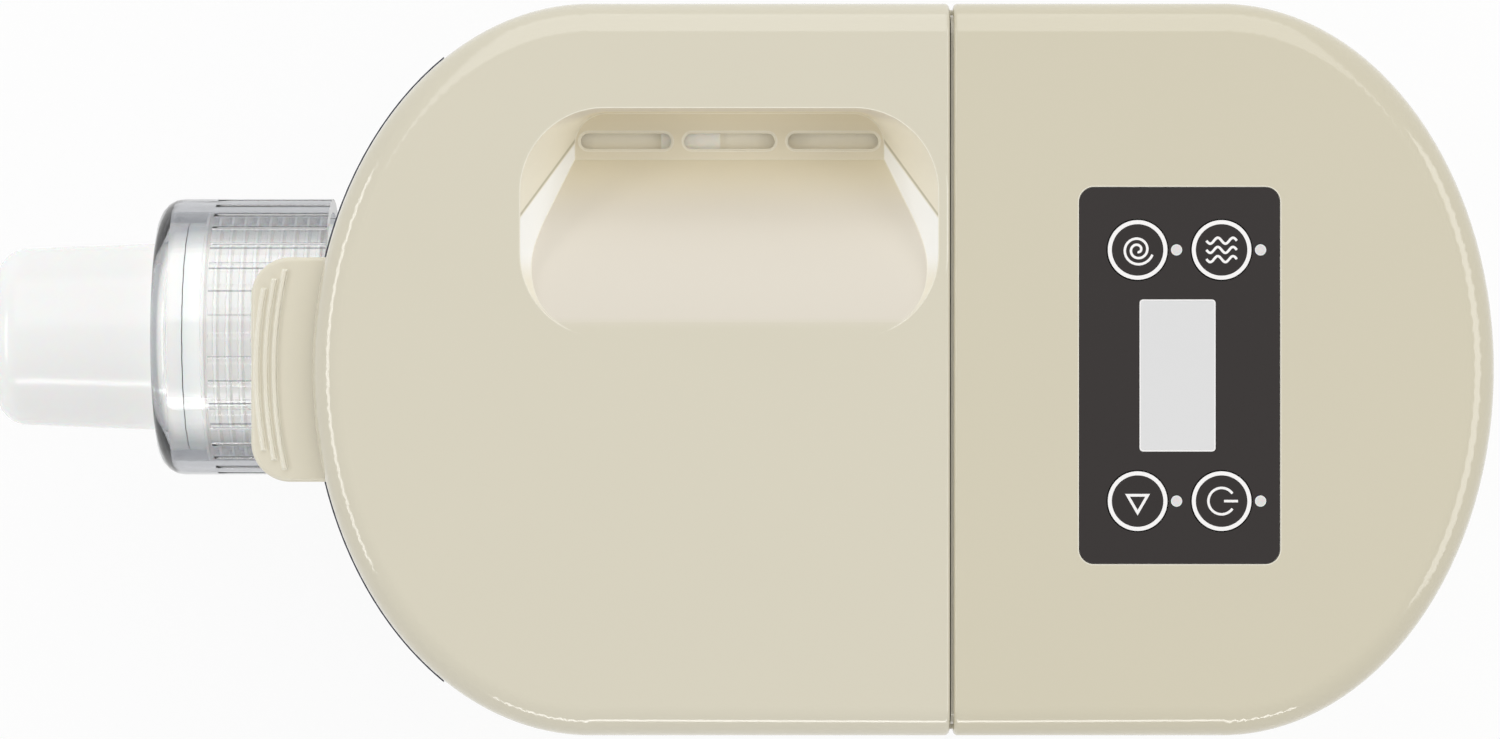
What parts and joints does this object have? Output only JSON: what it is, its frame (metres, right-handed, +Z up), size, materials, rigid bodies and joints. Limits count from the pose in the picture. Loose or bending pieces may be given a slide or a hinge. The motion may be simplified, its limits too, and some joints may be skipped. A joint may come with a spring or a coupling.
{
  "type": "electric pasta maker",
  "caption": "Table-top electric pasta maker: capsule-shaped body with lift-off lid, water scoop, key panel, kneading paddle and auger, and a clear nut that clamps a white pasta die.",
  "frame": {"origin": "on the table, under the middle of the whole length", "axes": "+Z up, -Y to the front where the dough comes out, +X to the right of someone who faces along +Y"},
  "size_m": [0.184, 0.393, 0.235],
  "materials": {
    "lid_shell": "gloss moulded",
    "housing_shell": "gloss moulded",
    "dark_fascia": "gloss",
    "panel_film": "satin",
    "key_caps": "satin, printed ring",
    "display_glass": "gloss",
    "lens": "frosted",
    "clear_nut": "clear moulded",
    "white_food_plastic": "gloss moulded",
    "bowl_plastic": "satin moulded",
    "auger_plastic": "fine matte",
    "silicone": "matte",
    "rubber": "matte",
    "black_plastic": "matte",
    "grey_plastic": "matte",
    "steel": "turned",
    "bronze": "sintered",
    "gear_plastic": "moulded",
    "motor_steel": "zinc plated",
    "ferrite": "ferrite",
    "board": "solder mask",
    "component": "moulded",
    "wire": "insulated",
    "brass_pin": "plated"
  },
  "bodies": {
    "housing": {"base_screws": "steel", "rubber_feet": "rubber", "base_plate": "black_plastic", "power_board": "board", "power_components": "component", "power_inlet": "black_plastic", "inlet_pins": "brass_pin", "mixing_bowl": "bowl_plastic", "shaft_seal": "silicone", "extrusion_barrel": "white_food_plastic", "barrel_seal": "silicone", "front_fascia": "dark_fascia", "main_body": "housing_shell", "lid_sensor": "component", "cover_screws": "steel", "board_screws": "steel", "indicator_lenses": "lens", "tact_switches": "component", "panel_overlay": "panel_film", "rear_cover": "housing_shell", "display_window": "display_glass", "display_module": "grey_plastic", "control_board": "board", "idler_pin": "steel", "gearbox_screws": "steel", "gearbox_housing": "grey_plastic", "motor_screws": "steel", "gearbox_cover": "grey_plastic", "front_bush": "bronze", "rear_bush": "bronze", "motor_can": "motor_steel", "motor_magnets": "ferrite", "motor_end_cap": "black_plastic", "wire_harness": "wire"},
    "lid": {"lid": "lid_shell", "lid_seal": "silicone", "drip_nozzle": "silicone", "lid_magnet": "ferrite", "latch_pin": "steel"},
    "latch": {"lid_latch": "lid_shell"},
    "drive_train": {"drive_shaft": "steel", "output_gear": "gear_plastic", "kneading_paddle": "auger_plastic", "extrusion_auger": "auger_plastic"},
    "idler": {"idler_gear": "gear_plastic"},
    "rotor": {"motor_rotor": "motor_steel", "motor_pinion": "steel", "cooling_fan": "black_plastic"},
    "die": {"pasta_die": "white_food_plastic", "noodle_disc": "white_food_plastic"},
    "nut": {"clamp_nut": "clear_nut"},
    "key_knead": {"key_knead": "key_caps"},
    "key_extrude": {"key_extrude": "key_caps"},
    "key_auto": {"key_auto": "key_caps"},
    "key_power": {"key_power": "key_caps"}
  },
  "joints": [
    {"name": "lid_lift", "type": "slide", "parent": "housing", "child": "lid", "axis": [0, 0, 1], "range_m": [0, 0.12]},
    {"name": "latch_tilt", "type": "hinge", "parent": "lid", "child": "latch", "pos_m": [0, -0.091, 0.2135], "axis": [-1, 0, 0], "range_deg": [0, 10], "stiffness_Nm_per_rad": 0.4, "springref_deg": -5.73},
    {"name": "drive_spin", "type": "hinge", "parent": "housing", "child": "drive_train", "pos_m": [-0.009, 0, 0.1], "axis": [0, 1, 0], "continuous": true},
    {"name": "idler_spin", "type": "hinge", "parent": "housing", "child": "idler", "pos_m": [0.02113, 0.075, 0.13591], "axis": [0, 1, 0], "continuous": true},
    {"name": "rotor_spin", "type": "hinge", "parent": "housing", "child": "rotor", "pos_m": [-0.0115, 0.12, 0.15112], "axis": [0, 1, 0], "continuous": true},
    {"name": "die_slide", "type": "slide", "parent": "housing", "child": "die", "axis": [0, -1, 0], "range_m": [0, 0.024]},
    {"name": "nut_turn", "type": "hinge", "parent": "die", "child": "nut", "pos_m": [-0.009, -0.13, 0.1], "axis": [0, -1, 0], "range_deg": [0, 1260]},
    {"name": "key_knead_press", "type": "slide", "parent": "housing", "child": "key_knead", "axis": [0, 0, -1], "range_m": [0, 0.0006], "stiffness_N_per_m": 2500, "springref_m": -0.0002},
    {"name": "key_extrude_press", "type": "slide", "parent": "housing", "child": "key_extrude", "axis": [0, 0, -1], "range_m": [0, 0.0006], "stiffness_N_per_m": 2500, "springref_m": -0.0002},
    {"name": "key_auto_press", "type": "slide", "parent": "housing", "child": "key_auto", "axis": [0, 0, -1], "range_m": [0, 0.0006], "stiffness_N_per_m": 2500, "springref_m": -0.0002},
    {"name": "key_power_press", "type": "slide", "parent": "housing", "child": "key_power", "axis": [0, 0, -1], "range_m": [0, 0.0006], "stiffness_N_per_m": 2500, "springref_m": -0.0002}
  ],
  "couplings": [
    {"joint": "idler_spin", "follows": "drive_spin", "ratio": -4},
    {"joint": "rotor_spin", "follows": "drive_spin", "ratio": 20},
    {"joint": "die_slide", "follows": "nut_turn", "m_per_rad": 0.0010823}
  ]
}
